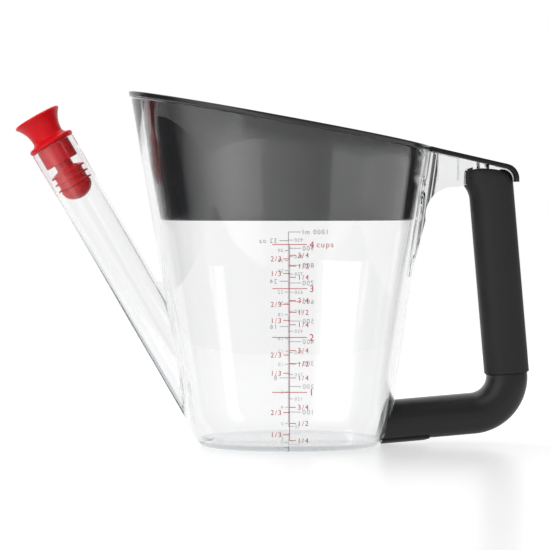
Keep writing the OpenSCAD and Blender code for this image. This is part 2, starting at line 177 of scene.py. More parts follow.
# What polished surfaces mirror, all round the table: degrees from the camera, negative to the
# left, and brightness. Below the eye it is the lit studio floor, with the straight edge of the
# key softbox's light. Above, it is that softbox and the dark room. The backdrop is white.
low_levels = [
    (-180, 1.0), (-125, 1.0), (-115, 0.04), (-80, 0.04), (-76, 0.4), (-68, 0.72), (-58, 1.05),
    (-47, 1.6), (-35, 2.0), (-28, 2.0), (-12, 1.55), (-10.5, 1.15), (0, 0.95), (12, 0.75),
    (20, 0.72), (24.5, 0.83), (25.5, 1.25), (50, 1.3), (108, 1.2), (111, 0.04), (126, 0.04),
    (128, 1.0), (180, 1.0)]
high_levels = [
    (-180, 1.0), (-125, 1.0), (-115, 0.04), (-75, 0.04), (-60, 1.2), (-20, 1.2), (-16, 0.15),
    (110, 0.12), (124, 0.04), (128, 1.0), (180, 1.0)]
brightest = 2.0
horizon = ((0.44, 0.0), (0.48, 1.0))  # where the low levels give way to the high ones
overhead = ((0.55, 1.0), (0.90, 0.35))  # seen through the jug, the studio darkens overhead
studio = bpy.data.worlds.new("studio")
bpy.context.scene.world = studio
studio.use_nodes = True
studio.node_tree.nodes.clear()
pen = Shade(studio.node_tree, None)
out = pen.node("ShaderNodeOutputWorld")
ray = light_path(pen)
way = pen.take("ShaderNodeTexCoord")
split = pen.node("ShaderNodeSeparateXYZ", values={0: way})
side, depth, height = (Shade(pen.tree, socket) for socket in split.outputs)
turn = side.maths("ARCTAN2", side, 0.0 - depth) * (0.5 / math.pi) + 0.5
low, high = (turn.ramp(*[(0.5 + degrees / 360, level / brightest) for degrees, level in levels])
             for levels in (low_levels, high_levels))
raised = (height * 0.5 + 0.5).ramp(*horizon)
reflected = (low + (high - low) * raised) * brightest
through = height.ramp(*overhead)
# 1 for light that was thrown back at least once, and 0 for light that only went through
mirrored = ray("Glossy Depth").above(0.5)
polished = ray("Is Glossy Ray").either(ray("Is Transmission Ray"))
strength = fill_level * (1.0 - ray("Is Camera Ray").either(polished)) + ray("Is Camera Ray")
strength = strength + polished * (through + (reflected - through) * mirrored)
sky = pen.take("ShaderNodeBackground", values={"Color": (1, 1, 1, 1), "Strength": strength})
sky.into(out)

# name, place and size in metres, and watts; each faces the middle of the jug
softboxes = [
    ("key_lamp", (-0.95, -1.05, 0.45), (1.0, 1.1), 7.0),
    ("side_lamp", (1.15, -0.75, 0.45), (0.4, 1.2), 2.5),
    ("top_lamp", (-0.50, 0.30, 1.15), (0.8, 0.7), 7.0),
]
aim = Vector((0, 0, 90)) * mm
for name, place, size, watts in softboxes:
    bpy.ops.object.light_add(type="AREA", location=place)
    lamp = bpy.context.object
    lamp.name = name
    lamp.data.shape = "RECTANGLE"
    lamp.data.size, lamp.data.size_y = size
    lamp.data.energy = watts
    lamp.rotation_euler = (aim - Vector(place)).to_track_quat("-Z", "Y").to_euler()
    lamp.visible_glossy = name == "top_lamp"  # the studio's own levels stand for the others


# ---- cup ----
# The jug's body, one moulding of clear hard plastic: an oval bowl with leaning walls and a
# sloping rim, the handle's bridge and lug, and the pad at the foot that takes the arm.


def work_on(obj):
    """Makes obj the only selected and active object."""
    bpy.ops.object.select_all(action="DESELECT")
    obj.select_set(True)
    bpy.context.view_layer.objects.active = obj


class Editing:
    """Edit mode on one object, for as long as the with block lasts."""

    def __init__(self, obj):
        self.obj = obj

    def __enter__(self):
        work_on(self.obj)
        bpy.ops.object.mode_set(mode="EDIT")
        bpy.ops.mesh.select_all(action="SELECT")
        return self

    def __exit__(self, *_):
        bpy.ops.object.mode_set(mode="OBJECT")

    def pick(self, kind, test):
        """Selects only the vertices, edges or faces that pass test."""
        bpy.ops.mesh.select_mode(type=kind)
        bpy.ops.mesh.select_all(action="DESELECT")
        form = bmesh.from_edit_mesh(self.obj.data)
        for part in {"VERT": form.verts, "EDGE": form.edges, "FACE": form.faces}[kind]:
            if test(part):
                part.select_set(True)
        form.select_flush_mode()
        bmesh.update_edit_mesh(self.obj.data)

    def turn_outwards(self):
        bpy.ops.mesh.select_all(action="SELECT")
        bpy.ops.mesh.normals_make_consistent(inside=False)


def outline(name, points):
    """A flat face with the given corners: a circle whose vertices are put in place."""
    bpy.ops.mesh.primitive_circle_add(vertices=len(points), fill_type="NGON")
    made = bpy.context.object
    made.name = name
    for vertex, point in zip(made.data.vertices, points):
        vertex.co = point
    return made


def thicken(obj, along):
    """Extrudes a flat outline into a solid."""
    with Editing(obj) as edit:
        bpy.ops.mesh.extrude_region_move(TRANSFORM_OT_translate={"value": along})
        edit.turn_outwards()
    return obj


def pull_up(obj, levels):
    """Extrudes a flat oval through levels, each (height, (middle, half length, half depth))."""
    with Editing(obj) as edit:
        for (low, before), (high, after) in zip(levels, levels[1:]):
            bpy.ops.mesh.extrude_region_move(
                TRANSFORM_OT_translate={"value": (after[0] - before[0], 0, high - low)})
            bpy.ops.transform.resize(value=(after[1] / before[1], after[2] / before[2], 1),
                                     center_override=(after[0], 0, high))
        edit.turn_outwards()
    return obj


def across(name, points, width):
    """A solid with the side view points, (x, z) pairs, and the given width across the jug."""
    return thicken(outline(name, [(x, -width / 2, z) for x, z in points]), (0, width, 0))


def arc(a, b, radius, start, end, steps):
    """Points of a round stretch about (a, b), from start to end in degrees."""
    turns = [math.radians(start + (end - start) * i / steps) for i in range(steps + 1)]
    return [(a + radius * math.cos(t), b + radius * math.sin(t)) for t in turns]


def rounded(left, right, half_y, radius, steps=12):
    """Outline of a rounded rectangle, from left to right and half_y to both sides."""
    corners = [(right - radius, 1, 0), (left + radius, 1, 90),
               (left + radius, -1, 180), (right - radius, -1, 270)]
    return [p for x, side, turn in corners
            for p in arc(x, side * (half_y - radius), radius, turn, turn + 90, steps)]


def block(name, low, high):
    """A box between two corners."""
    low, high = Vector(low), Vector(high)
    bpy.ops.mesh.primitive_cube_add(size=1, location=(low + high) / 2, scale=high - low)
    made = bpy.context.object
    made.name = name
    bpy.ops.object.transform_apply()
    return made


def drum(name, rings, steps=96):
    """A round solid about the Z axis through rings, each (height, radius)."""
    z, radius = rings[0]
    circle = arc(0, 0, radius, 0, 360 - 360 / steps, steps - 1)
    return pull_up(outline(name, [(x, y, z) for x, y in circle]),
                   [(z, (0, radius, radius)) for z, radius in rings])


def put(obj, place):
    """Moves a mesh from its own drawing frame to its place on the jug."""
    obj.data.transform(place)
    obj.data.update()
    return obj


def combine(obj, operation, *tools):
    """Joins, cuts or keeps the overlap of obj with each tool, and removes the tools."""
    for tool in tools:
        work_on(obj)
        step = obj.modifiers.new(operation.lower(), "BOOLEAN")
        step.operation = operation
        step.solver = "EXACT"
        step.object = tool
        bpy.ops.object.modifier_apply(modifier=step.name)
        bpy.data.objects.remove(tool)
    return obj


def round_edges(obj, width, steps=3, least=50, where=lambda middle: True):
    """Rounds the edges that turn by more than least degrees and whose middle passes where."""
    with Editing(obj) as edit:
        edit.pick("EDGE", lambda e: len(e.link_faces) == 2
                  and e.calc_face_angle() > math.radians(least)
                  and where((e.verts[0].co + e.verts[1].co) / 2))
        bpy.ops.mesh.bevel(offset=width, segments=steps, clamp_overlap=True)


def finish_piece(obj, name, material, body, slot, *replaced, smooth=32):
    """Shades a finished mesh, names it, gives it its material, hangs it on its body, and hides the
    parts it replaces.
    """
    work_on(obj)
    bpy.ops.object.shade_smooth_by_angle(angle=math.radians(smooth))
    obj.name = obj.data.name = name
    obj.data.materials.clear()
    obj.data.materials.append(material)
    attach(obj, body)
    if replaced:
        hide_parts(*replaced)
    return obj


oval_steps = 256
plan_power = 2.25  # of the squared oval: 2 would be an ellipse
rim_height, rim_fall, rim_edge = 162 * mm, 0.183, 0.6 * mm
wall, floor, floor_edge = 2.6 * mm, 3.2 * mm, 2.2 * mm
foot_half_x, foot_half_y = 50.3 * mm, 44.6 * mm
spout_end_lean, handle_end_lean, side_lean = 0.169, 0.143, 0.112
foot_tuck, tuck_height, tuck_power, foot_round = 5.2 * mm, 16 * mm, 2.2, 1.4 * mm
over_rim, under_table = 200 * mm, -5 * mm
# heights of the rings in mm, close together where the wall is rounded
foot_levels = [0, 0.08, 0.25, 0.5, 0.9, 1.4, 2.2, 3.2, 4.5, 6, 7.5, 9, 10.5, 12, 14]
wall_levels = [16 + 6 * i for i in range(22)]
hollow_levels = [3.7, 4.4, 5.4, 6.6, 8, 9.5, 11.5, 14]
corner_turn = 0.8  # radians: an edge that turns by more is a corner to round


def squared(value):
    return math.copysign(abs(value) ** (2 / plan_power), value)


def rim_at(x):
    return rim_height - rim_fall * x


def cup_section(z, inset=0.0):
    """Middle, half length and half depth of the cup's oval at height z."""
    inset += foot_tuck * max(0, 1 - z / tuck_height) ** tuck_power
    if z < foot_round:
        inset += foot_round - math.sqrt(foot_round**2 - (foot_round - z) ** 2)
    return ((handle_end_lean - spout_end_lean) / 2 * z,
            foot_half_x + (handle_end_lean + spout_end_lean) / 2 * z - inset,
            foot_half_y + side_lean * z - inset)


def oval_stack(name, levels):
    """A closed solid pulled up from an oval through levels, as for pull_up."""
    z, (middle, half_x, half_y) = levels[0]
    turns = [2 * math.pi * i / oval_steps for i in range(oval_steps)]
    return pull_up(outline(name, [(middle + half_x * squared(math.cos(t)),
                                   half_y * squared(math.sin(t)), z) for t in turns]), levels)


def cup_form(name, inset=0.0):
    """The cup's outer form, solid, taken in by inset, which also carries it through the table."""
    heights = [z * mm for z in foot_levels + wall_levels] + [over_rim]
    levels = [(z, cup_section(z, inset)) for z in heights]
    return oval_stack(name, [(under_table, levels[0][1])] * bool(inset) + levels)


def cut_at_slope(obj, lift=0.0):
    """Cuts obj open at the rim's slope, lifted by lift."""
    with Editing(obj):
        bpy.ops.mesh.bisect(plane_co=(0, 0, rim_height + lift), plane_no=(rim_fall, 0, 1),
                            clear_outer=True, threshold=0.001 * mm)


def on_slope(lift=0.0, reach=0.02 * mm):
    """Test for edges that lie on the rim's slope, lifted by lift."""
    return lambda e: all(abs(v.co.z - rim_at(v.co.x) - lift) < reach for v in e.verts)


def close_rim(obj, hollow, lift=0.0):
    """Puts a hollow's faces into obj, and closes the rim between the open edges of both."""
    apart = 10 * mm  # bridged with the two edges this far apart, because level ones can cross
    with Editing(hollow) as edit:
        edit.pick("EDGE", lambda e: len(e.link_faces) == 1)
        bpy.ops.transform.translate(value=(0, 0, apart))
    work_on(obj)
    hollow.select_set(True)
    bpy.ops.object.join()
    with Editing(obj) as edit:
        edit.pick("EDGE", lambda e: len(e.link_faces) == 1)
        bpy.ops.mesh.bridge_edge_loops()
        edit.pick("EDGE", on_slope(lift + apart))
        bpy.ops.transform.translate(value=(0, 0, -apart))
        edit.turn_outwards()


bowl = cup_form("bowl")
cut_at_slope(bowl)
hollow = oval_stack(
    "hollow",
    [(floor, cup_section(floor, wall + floor_edge)),
     (floor + 0.1 * mm, cup_section(floor, wall + floor_edge / 2))]
    + [(z * mm, cup_section(z * mm, wall)) for z in hollow_levels + wall_levels]
    + [(over_rim, cup_section(over_rim, wall))])
cut_at_slope(hollow)
close_rim(bowl, hollow)
with Editing(bowl) as edit:
    edit.pick("EDGE", lambda e: on_slope()(e) and e.calc_face_angle() > corner_turn)
    bpy.ops.mesh.bevel(offset=rim_edge, segments=4)

# The bridge, from its side view, cut to a plan with flared roots that leans with the wall. Its
# underside is a round crook for the fingers, and a channel is open in its top.
bridge_w, bridge_root = 20 * mm, 80 * mm
tongue_x, tongue_fall, tongue_thick = 72.9 * mm, 0.2255, 2.3 * mm
seat_gap, band_thick = 0.3 * mm, 2.4 * mm
lid_top = seat_gap + band_thick
inside_x = 50 * mm
crook_x, crook_z, crook_r, crook_foot = 83.5 * mm, 116.5 * mm, 14.8 * mm, 86 * mm
crook_sink, crook_arc = 1.4 * mm, (84, 188)  # degrees from +X
bridge_end, wedge_z, socket_x, socket_z = 104 * mm, 139 * mm, 91 * mm, 132.6 * mm
gusset_r, gusset_x = 11.5 * mm, 8.8 * mm
flare_arc = (194.5, 270)  # degrees: from almost along the wall to along the bridge
channel = ((74.5 * mm, -7.5 * mm, 134.6 * mm), (86 * mm, 7.5 * mm, 170 * mm))


def tongue_top(x):
    return rim_at(tongue_x) + lid_top - tongue_fall * (x - tongue_x)


def bridge_top(x):
    return tongue_top(x) - tongue_thick - seat_gap


bridge = across("bridge", [
    (foot_half_x + handle_end_lean * crook_foot - crook_sink, crook_foot),
    (inside_x, crook_foot), (inside_x, rim_at(inside_x) - 1 * mm),
    (tongue_x, bridge_top(tongue_x)), (bridge_end, bridge_top(bridge_end)),
    (bridge_end, wedge_z), (socket_x, wedge_z), (socket_x, socket_z),
    *arc(crook_x, crook_z, crook_r, *crook_arc, 40)], bridge_w + 2 * gusset_r)
flare = arc(gusset_x, bridge_w / 2 + gusset_r, gusset_r, *flare_arc, 16)
plan = [(-10 * mm, flare[0][1]), *flare, (60 * mm, bridge_w / 2)]
plan += [(x, -y) for x, y in reversed(plan)]
flared_bar = thicken(outline("flared_bar", [(x, y, bridge_root) for x, y in plan]),
                     (0, 0, 90 * mm))
put(flared_bar, Matrix.Translation((foot_half_x, 0, 0))
    @ Matrix.Rotation(math.atan(handle_end_lean), 4, "Y"))
combine(bridge, "INTERSECT", flared_bar)

# The handle's frame: x along the arm, z up the grip, from where their centre lines meet.
handle_x, handle_z, handle_lean = 112.8 * mm, 17.4 * mm, 5  # degrees, towards the cup
at_handle = (Matrix.Translation((handle_x, 0, handle_z))
             @ Matrix.Rotation(-math.radians(handle_lean), 4, "Y"))
elbow_r, arm_end = 19 * mm, -89 * mm
arm_h, arm_y, arm_round = 20.4 * mm, 24 * mm, 9 * mm
spigot_half_y, spigot_half_z, spigot_sink, spigot_end = 6.5 * mm, 5 * mm, 4 * mm, -45 * mm
joint_x, joint_lean = 46.6 * mm, 17.5
lug_z, lug_thick, lug_from, lug_to = 120.8 * mm, 2.8 * mm, -9 * mm, 4.5 * mm
nose_y = 7.4 * mm
head_from, chin_z, chin_out, chin_draft = 109 * mm, 117 * mm, 3.1 * mm, 0.07
grip_half_x, grip_half_y, grip_round = 11.1 * mm, 13 * mm, 9.5 * mm
crown_z, crown_fall, crown_r = 123.7 * mm, 0.16, 4.5 * mm


def grip_form(name, gap):
    """The whole grip, grown by gap: a straight sleeve whose head swells into a chin."""
    left, right = -grip_half_x - gap, grip_half_x + gap
    foot = elbow_r + 0.3 * mm
    made = outline(name, [(x, y, foot) for x, y in
                          rounded(left, right, grip_half_y + gap, grip_round + gap)])
    swell = [head_from + (chin_z - head_from) * i / 12 for i in range(13)]
    steps = [(z, chin_out * ((z - head_from) / (chin_z - head_from)) ** 2) for z in swell]
    # past the chin the head turns in again, and then leans in with its draft
    steps += [(chin_z + 0.5 * mm, chin_out + 0.12 * mm), (chin_z + 1.2 * mm, chin_out + 0.02 * mm),
              (chin_z + 15 * mm, chin_out - 14 * mm * chin_draft)]
    with Editing(made) as edit:
        before, low = 0.0, foot
        for z, out_by in steps:
            bpy.ops.mesh.extrude_region_move(TRANSFORM_OT_translate={"value": (0, 0, z - low)})
            bpy.ops.transform.resize(
                value=((right - left + out_by) / (right - left + before), 1, 1),
                center_override=(right, 0, z))
            before, low = out_by, z
        edit.turn_outwards()
        bpy.ops.mesh.bisect(plane_co=(0, 0, crown_z + gap), plane_no=(crown_fall, 0, 1),
                            clear_outer=True, use_fill=True)
        edit.pick("EDGE", lambda e: all(
            abs(v.co.z + crown_fall * v.co.x - crown_z - gap) < 0.01 * mm for v in e.verts))
        bpy.ops.mesh.bevel(offset=crown_r, segments=9, clamp_overlap=False)
        edit.turn_outwards()
    return made


def nose_space(name, gap):
    return block(name, (-30 * mm, -nose_y - gap, head_from),
                 (lug_from - 0.15 * mm + gap, nose_y + gap, head_from + 30 * mm))


nose = combine(grip_form("nose", 0.1 * mm), "INTERSECT", nose_space("nose_space", 0.1 * mm))
combine(bridge, "DIFFERENCE", block("channel", *channel), put(nose, at_handle))
touch = 0.03 * mm  # air left between faces that touch
arm_section = rounded(-arm_h / 2, arm_h / 2, arm_y / 2, arm_round)
pad = thicken(outline("pad", [(arm_end, y, z) for z, y in arm_section]), (40 * mm, 0, 0))
put(pad, at_handle)
with Editing(pad) as edit:
    lean = math.radians(joint_lean)
    bpy.ops.mesh.bisect(plane_co=(joint_x - touch, 0, 0),
                        plane_no=(math.cos(lean), 0, -math.sin(lean)),
                        clear_outer=True, use_fill=True)
    edit.turn_outwards()
lug = put(block("lug", (lug_from, -bridge_w / 2, lug_z + touch),
                (lug_to, bridge_w / 2, lug_z + lug_thick)), at_handle)
spigot = put(block("spigot", (arm_end + spigot_sink, -spigot_half_y, -spigot_half_z),
                   (spigot_end, spigot_half_y, spigot_half_z)), at_handle)
combine(bridge, "UNION", lug, pad, spigot)
combine(bridge, "DIFFERENCE", cup_form("middle_of_wall", wall / 2))
combine(bowl, "UNION", bridge)

# The spout's frame: z down the bore from the middle of the mouth, x away from the cup.
mouth_x, mouth_z, spout_lean = -120.3 * mm, 152.3 * mm, 30  # degrees from upright
at_spout = (Matrix.Translation((mouth_x, 0, mouth_z))
            @ Matrix.Rotation(math.radians(180 - spout_lean), 4, "Y"))
bore_foot_r, port_from, port_to, port_edge = 9.5 * mm, 118 * mm, 170 * mm, 2.4 * mm
# The port is only the part of the bore that lies inside the cup's wall.
port = combine(drum("port", [(port_from, bore_foot_r), (port_to, bore_foot_r)]), "INTERSECT",
               block("port_side", (port_edge, -15 * mm, port_from - 8 * mm),
                     (20 * mm, 15 * mm, port_to + 5 * mm)))
upper_screw_x, lower_screw_x = -3.5 * mm, -50.5 * mm
screw_r, screw_head_r, pilot_r, lug_ledge = 1.7 * mm, 3.3 * mm, 1.45 * mm, 1.3 * mm
over_lug = lug_z + 20 * mm
screw_hole = drum("screw_hole", [(lug_z - 10 * mm, screw_r), (over_lug, screw_r)], 32)
head_hole = drum("head_hole", [(lug_z + lug_ledge, screw_head_r), (over_lug, screw_head_r)], 48)
pilot_hole = drum("pilot_hole", [(-6 * mm, pilot_r), (2 * mm, pilot_r)], 32)
upper_place = at_handle @ Matrix.Translation((upper_screw_x, 0, 0))
lower_place = at_handle @ Matrix.Translation((lower_screw_x, 0, 0))
combine(bowl, "DIFFERENCE", put(port, at_spout), put(screw_hole, upper_place),
        put(head_hole, upper_place), put(pilot_hole, lower_place))


def mottle(pen, scale, detail, roughness=0.5):
    """Soft random patches from 0 to 1, fixed to the piece."""
    place = pen.take("ShaderNodeTexCoord", out=3)
    return pen.take("ShaderNodeTexNoise", values={
        "Vector": place, "Scale": scale, "Detail": detail, "Roughness": roughness})


def uneven(pen, height, strength, depth):
    """The slopes of a face that rises and falls a little with height."""
    return pen.take("ShaderNodeBump", values={
        "Strength": strength, "Distance": depth, "Height": height})


most_mirrorings, most_turns = 3.5, 9.5  # soon after these a ray would end, in black
clear_plastic, pen, out = new_material("clear_plastic")
flow = mottle(pen, 38.0, 1.0)
wave = uneven(pen, flow, 0.04, 0.6 * mm)
plastic = pen.take("ShaderNodeBsdfPrincipled", values={
    "Base Color": flow.blend((0.986, 0.987, 0.988, 1), (0.994, 0.995, 0.996, 1)),
    "Roughness": 0.006 + flow * 0.02, "IOR": 1.5, "Transmission Weight": 1.0, "Normal": wave})
ray = light_path(pen)
open_air = pen.take("ShaderNodeBsdfTransparent", values={"Color": (0.94, 0.95, 0.955, 1)})
# Light that has been thrown back and forth inside the wall many times leaves it straight.
lost = ray("Glossy Depth").above(most_mirrorings).either(ray("Ray Depth").above(most_turns))
both = pen.take("ShaderNodeMixShader", values={
    0: ray("Is Shadow Ray").either(ray("Is Diffuse Ray")).either(lost), 1: plastic, 2: open_air})
both.into(out)
depth_tint = pen.take("ShaderNodeVolumeAbsorption", values={
    "Color": (0.74, 0.74, 0.75, 1), "Density": 22.0})
depth_tint.into(out, "Volume")

finish_piece(bowl, "clear_cup", clear_plastic, "jug", "clear", "cup")


# ---- measuring scales ----
# Thin prints on the cup's wall, each drawn flat as its reader sees it and then laid on: cups
# with their quarters and thirds in red on the front, millilitres and ounces in grey behind.

cup_ml, ounce_ml = 236.6, 29.57
line_w, ink_gap, ink_thick = 0.34 * mm, 0.03 * mm, 0.03 * mm
scale_zero = -4.0 * mm  # the photographed marks sit a little low on the wall
bore_r, bore_from = 9.6 * mm, 22 * mm  # the spout's bore, which fills with the cup
bore_area = math.pi * bore_r**2 / math.cos(math.radians(spout_lean))
digit_share = 0.70  # a digit's height in the built-in font, for a size of 1
letter_spacing = 1.25
big, small, tiny, letters = 3.3 * mm, 2.5 * mm, 1.8 * mm, 2.7 * mm  # heights of the lettering
before_wall = -0.1  # the prints are drawn on a plane this far in front of the jug
cup_tick, share_tick = 8.5 * mm, 3.1 * mm
oval_share = 4 * math.gamma(1 + 1 / plan_power) ** 2 / math.gamma(1 + 2 / plan_power)


def level_of(millilitres):
    """Height of a mark, by adding up thin slices of the cup's hollow and the spout's bore."""
    left, z, slice_h = millilitres * 1e-6, scale_zero, 0.1 * mm
    while True:
        _, half_x, half_y = cup_section(max(z, floor), wall)
        area = oval_share * half_x * half_y + (bore_area if z > bore_from else 0)
        if left <= area * slice_h:
            return z + left / area
        left -= area * slice_h
        z += slice_h


def strip(x0, x1, z0, z1):
    """A flat strip in front of the wall, split finely enough to follow it."""
    across_x, up_z = (max(1, round(abs(b - a) / (1.2 * mm))) for a, b in ((x0, x1), (z0, z1)))
    bpy.ops.mesh.primitive_grid_add(x_subdivisions=across_x, y_subdivisions=up_z, size=1)
    made = bpy.context.object
    for vertex in made.data.vertices:
        x, y, _ = vertex.co
        vertex.co = (x0 + (x + 0.5) * (x1 - x0), before_wall, z0 + (y + 0.5) * (z1 - z0))
    return made


def tick(z, x0, x1):
    return strip(min(x0, x1), max(x0, x1), z - line_w / 2, z + line_w / 2)


def label(text, x, z, height):
    """Lettering that starts at x where that is right of the line, and ends at x where left."""
    bpy.ops.object.text_add(location=(x, before_wall, z - height / 2),
                            rotation=(math.radians(90), 0, 0))
    made = bpy.context.object
    made.data.body = text
    made.data.size = height / digit_share
    made.data.align_x = "LEFT" if x > 0 else "RIGHT"
    made.data.space_character = letter_spacing
    return made


def mark(millilitres, reach, words, height, gap):
    """A tick from the scale's line to reach, left of it where negative, and words beyond it."""
    z = level_of(millilitres)
    return [tick(z, 0, reach), label(words, reach + math.copysign(gap, reach), z, height)]


def upright(least, most):
    """The scale's own line, between two amounts in millilitres."""
    return strip(-line_w / 2, line_w / 2, level_of(least) - line_w / 2, level_of(most) + line_w / 2)


def lay_on_wall(name, parts, turn, ink):
    """Joins flat parts, turns them about the jug, and lays them on its wall as a thin print."""
    bpy.ops.object.select_all(action="DESELECT")
    for part in parts:
        part.select_set(True)
    bpy.context.view_layer.objects.active = parts[0]
    bpy.ops.object.convert(target="MESH")
    bpy.ops.object.transform_apply()
    bpy.ops.object.join()
    made = put(bpy.context.object, Matrix.Rotation(math.radians(turn), 4, "Z"))
    wrap = made.modifiers.new("wrap", "SHRINKWRAP")
    wrap.target = bowl
    wrap.wrap_method, wrap.wrap_mode, wrap.offset = "PROJECT", "ABOVE_SURFACE", ink_gap
    wrap.use_project_y = True
    wrap.use_positive_direction, wrap.use_negative_direction = turn == 0, turn != 0
    bpy.ops.object.modifier_apply(modifier="wrap")
    film = made.modifiers.new("film", "SOLIDIFY")
    film.thickness, film.offset = ink_thick, 1
    bpy.ops.object.modifier_apply(modifier="film")
    with Editing(made) as edit:
        edit.turn_outwards()
    finish_piece(made, name, ink, "jug", "clear")


def ink_material(name, dark, light):
    """Pad-printed ink, a little uneven."""
    made, pen, out = new_material(name)
    cover = mottle(pen, 700.0, 2.0)
    paint = pen.take("ShaderNodeBsdfPrincipled", values={
        "Base Color": cover.blend(dark, light), "Roughness": 0.45 + cover * 0.1})
    paint.into(out)
    return made


red_ink = ink_material("red_ink", (0.60, 0.012, 0.022, 1), (0.72, 0.020, 0.032, 1))
grey_ink = ink_material("grey_ink", (0.70, 0.70, 0.71, 1), (0.78, 0.78, 0.79, 1))

# top and bottom of each fraction of a cup, and its side: 1 for the right, -1 for the left
fractions = [(1, 4, 1), (1, 2, 1), (3, 4, 1), (1, 3, -1), (2, 3, -1)]
marks = [upright(cup_ml / 4, 4 * cup_ml)]
for whole in range(4):
    for top, bottom, side in fractions:
        marks += mark((whole + top / bottom) * cup_ml, side * share_tick, f"{top}/{bottom}",
                      small, 0.8 * mm)
    z = level_of((whole + 1) * cup_ml)
    marks += [tick(z, -cup_tick, cup_tick), label(str(whole + 1), cup_tick + 1.1 * mm, z, big)]
marks += [label("cups", cup_tick + 4.5 * mm, z, letters)]
lay_on_wall("cup_scale", marks, 0, red_ink)

marks = [upright(50, 1000)]
for millilitres in range(50, 1001, 50):
    words = str(millilitres) + (" ml" if millilitres == 1000 else "")
    minor, major = (-2.6 * mm, words, tiny, 0.7 * mm), (-6.8 * mm, words, small, 0.8 * mm)
    marks += mark(millilitres, *(minor if millilitres % 100 else major))
for ounces in range(2, 33, 2):
    words = str(ounces) + (" oz" if ounces == 32 else "")
    minor, major = (2.0 * mm, words, tiny, 0.7 * mm), (4.8 * mm, words, small, 1.2 * mm)
    marks += mark(ounces * ounce_ml, *(minor if ounces % 8 else major))
lay_on_wall("litre_scale", marks, 180, grey_ink)


# ---- spout ----
# A clear round tube, welded over the port low in the cup's wall. It widens a little at its
# mouth, and a thin web fills the crotch between it and the cup.

tube_mouth_r, tube_r, flare_len, tube_len = 11.7 * mm, 11.2 * mm, 30 * mm, 160 * mm
bore_mouth_r, bore_foot, bore_len, mouth_edge = 9.9 * mm, 154 * mm, 158 * mm, 0.5 * mm
web_w, web_foot, web_top, web_fillet, crotch_x = 5 * mm, 40 * mm, 83 * mm, 1.6 * mm, -68.3 * mm
tube = put(drum("tube", [(0, tube_mouth_r), (flare_len, tube_r), (tube_len, tube_r)], 128),
           at_spout)
web = across("web", [(-56 * mm, web_foot), (-60 * mm, web_top),
                     *arc(crotch_x, web_top, web_fillet, 0, -180, 16),
                     (-74 * mm, web_top), (-62 * mm, web_foot)], web_w)
bore = drum("bore", [(-1 * mm, bore_mouth_r), (bore_foot, bore_foot_r), (bore_len, bore_foot_r)],
            128)
combine(tube, "UNION", web)
combine(tube, "DIFFERENCE", put(bore, at_spout), cup_form("cup_beside_tube", -touch))
mouth_slope = at_spout.to_3x3() @ Vector((0, 0, 1))
mouth_middle = at_spout.translation
round_edges(tube, mouth_edge, 4, 60,
            lambda p: (p - mouth_middle).dot(mouth_slope) < 0.5 * mm)
finish_piece(tube, "spout", clear_plastic, "jug", "clear", "spout_tube")


# ---- handle frame, its cover and the screws ----
# A rigid black moulding: the arm, the elbow and the post inside the grip. It is screwed to
# the cup's spigot under a snap-in plate, and to the cup's lug from above.


def satin_black(name, colour, roughness, grain_scale, grain_depth):
    """Moulded black with a fine spark-eroded grain."""
    made, pen, out = new_material(name)
    grain = uneven(pen, mottle(pen, grain_scale, 3.0, 0.6), 0.35, grain_depth)
    patches = mottle(pen, 22.0, 2.0)
    dark = tuple(0.86 * c for c in colour) + (1,)
    light = tuple(1.14 * c for c in colour) + (1,)
    skin = pen.take("ShaderNodeBsdfPrincipled", values={
        "Base Color": patches.blend(dark, light), "Normal": grain,
        "Roughness": roughness - 0.05 + patches * 0.1})
    skin.into(out)
    return made


handle_black = satin_black("handle_black", (0.015, 0.015, 0.017), 0.40, 1500.0, 0.06 * mm)
nodes["handle_frame"].data.materials[0] = handle_black
nodes["screw_cover"].data.materials[0] = handle_black

screw_steel, pen, out = new_material("screw_steel")
brushed = mottle(pen, 900.0, 2.0)
steel = pen.take("ShaderNodeBsdfPrincipled", values={
    "Base Color": brushed.blend((0.52, 0.52, 0.53, 1), (0.66, 0.66, 0.67, 1)),
    "Metallic": 1.0, "Roughness": 0.26 + brushed * 0.16})
steel.into(out)
nodes["lower_screw"].data.materials[0] = screw_steel
nodes["upper_screw"].data.materials[0] = screw_steel


# ---- grip ----
# A soft matt sleeve over the frame's post, from the groove at the elbow to a head with a
# chin. The clear bridge ends between the head's two cheeks, round a narrow nose.

grip_edge, play = 0.5 * mm, 0.1 * mm  # play is the air round what the grip closes over
post_half_x, post_half_y, post_round = 7 * mm, 8.5 * mm, 5 * mm
sleeve = grip_form("sleeve", 0)
round_edges(sleeve, grip_edge, 3, 60, lambda p: p.z < elbow_r + 0.4 * mm)
post_section = rounded(-post_half_x, post_half_x, post_half_y, post_round)
post = thicken(outline("post", [(x, y, 0) for x, y in post_section]), (0, 0, lug_z))
lug_pocket = block("lug_pocket", (lug_from - play, -bridge_w / 2 - play, lug_z),
                   (lug_to + play, bridge_w / 2 + play, over_lug))
bridge_space = across("bridge_space", [
    (70 * mm, socket_z - 3 * mm), (socket_x + play, socket_z - play),
    (socket_x + play, wedge_z - play), (bridge_end, wedge_z - play),
    (bridge_end, 160 * mm), (70 * mm, 160 * mm)], bridge_w + 2 * play)
combine(bridge_space, "DIFFERENCE", put(nose_space("nose_left", 0), at_handle))
combine(put(sleeve, at_handle), "DIFFERENCE", put(post, at_handle), put(lug_pocket, at_handle),
        bridge_space)

soft_black = satin_black("soft_black", (0.020, 0.020, 0.021), 0.62, 2600.0, 0.08 * mm)
finish_piece(sleeve, "grip", soft_black, "jug", "grip", "grip_sleeve")


# ---- strainer ----
# A lift-out moulding of smooth black plastic: a rim band that sits on the cup, an oval wall
# that hangs inside it, a flat floor of drain holes, and a thumb tongue over the handle.

